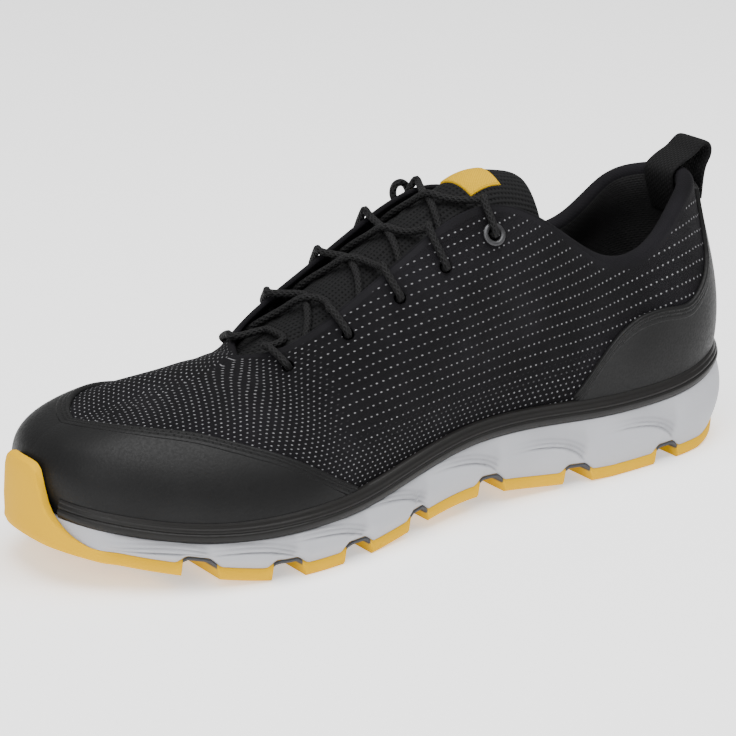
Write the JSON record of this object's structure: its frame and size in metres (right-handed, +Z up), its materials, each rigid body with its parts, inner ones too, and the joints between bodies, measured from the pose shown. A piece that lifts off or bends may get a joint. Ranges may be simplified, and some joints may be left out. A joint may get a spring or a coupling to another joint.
{
  "type": "safety sneaker",
  "caption": "Low lace-up safety sneaker for the left foot: knitted upper, moulded toe cap and heel counter, foamed midsole, lugged outsole.",
  "frame": {"origin": "on the floor under the middle of the heel seat", "axes": "+X from heel to toe, +Y towards the outer side of the left foot, +Z up"},
  "size_m": [0.3038, 0.11, 0.1187],
  "materials": {
    "black_knit": "matte knit with rows of light dot stitches",
    "black_coated_cap": "satin coated",
    "black_rubber": "satin",
    "grey_foam": "moulded foam, fine satin",
    "yellow_rubber": "satin",
    "black_mesh": "ribbed mesh cloth",
    "black_lining": "matte lining cloth",
    "black_cord": "round braided cord",
    "dark_metal": "dark satin metal",
    "black_webbing": "woven webbing"
  },
  "bodies": {
    "root": {"upper": "black_knit", "toe_cap": "black_coated_cap", "heel_counter": "black_coated_cap", "rand": "black_rubber", "midsole": "grey_foam", "outsole": "yellow_rubber", "insole": "black_lining", "tongue": "black_mesh", "eyelet_ring_lateral": "dark_metal", "eyelet_ring_medial": "dark_metal", "lace_front": "black_cord", "lace_cross_1": "black_cord", "lace_cross_2": "black_cord", "lace_cross_3": "black_cord", "lace_cross_4": "black_cord", "lace_loop": "black_cord", "pull_loop": "black_webbing"}
  },
  "joints": []
}
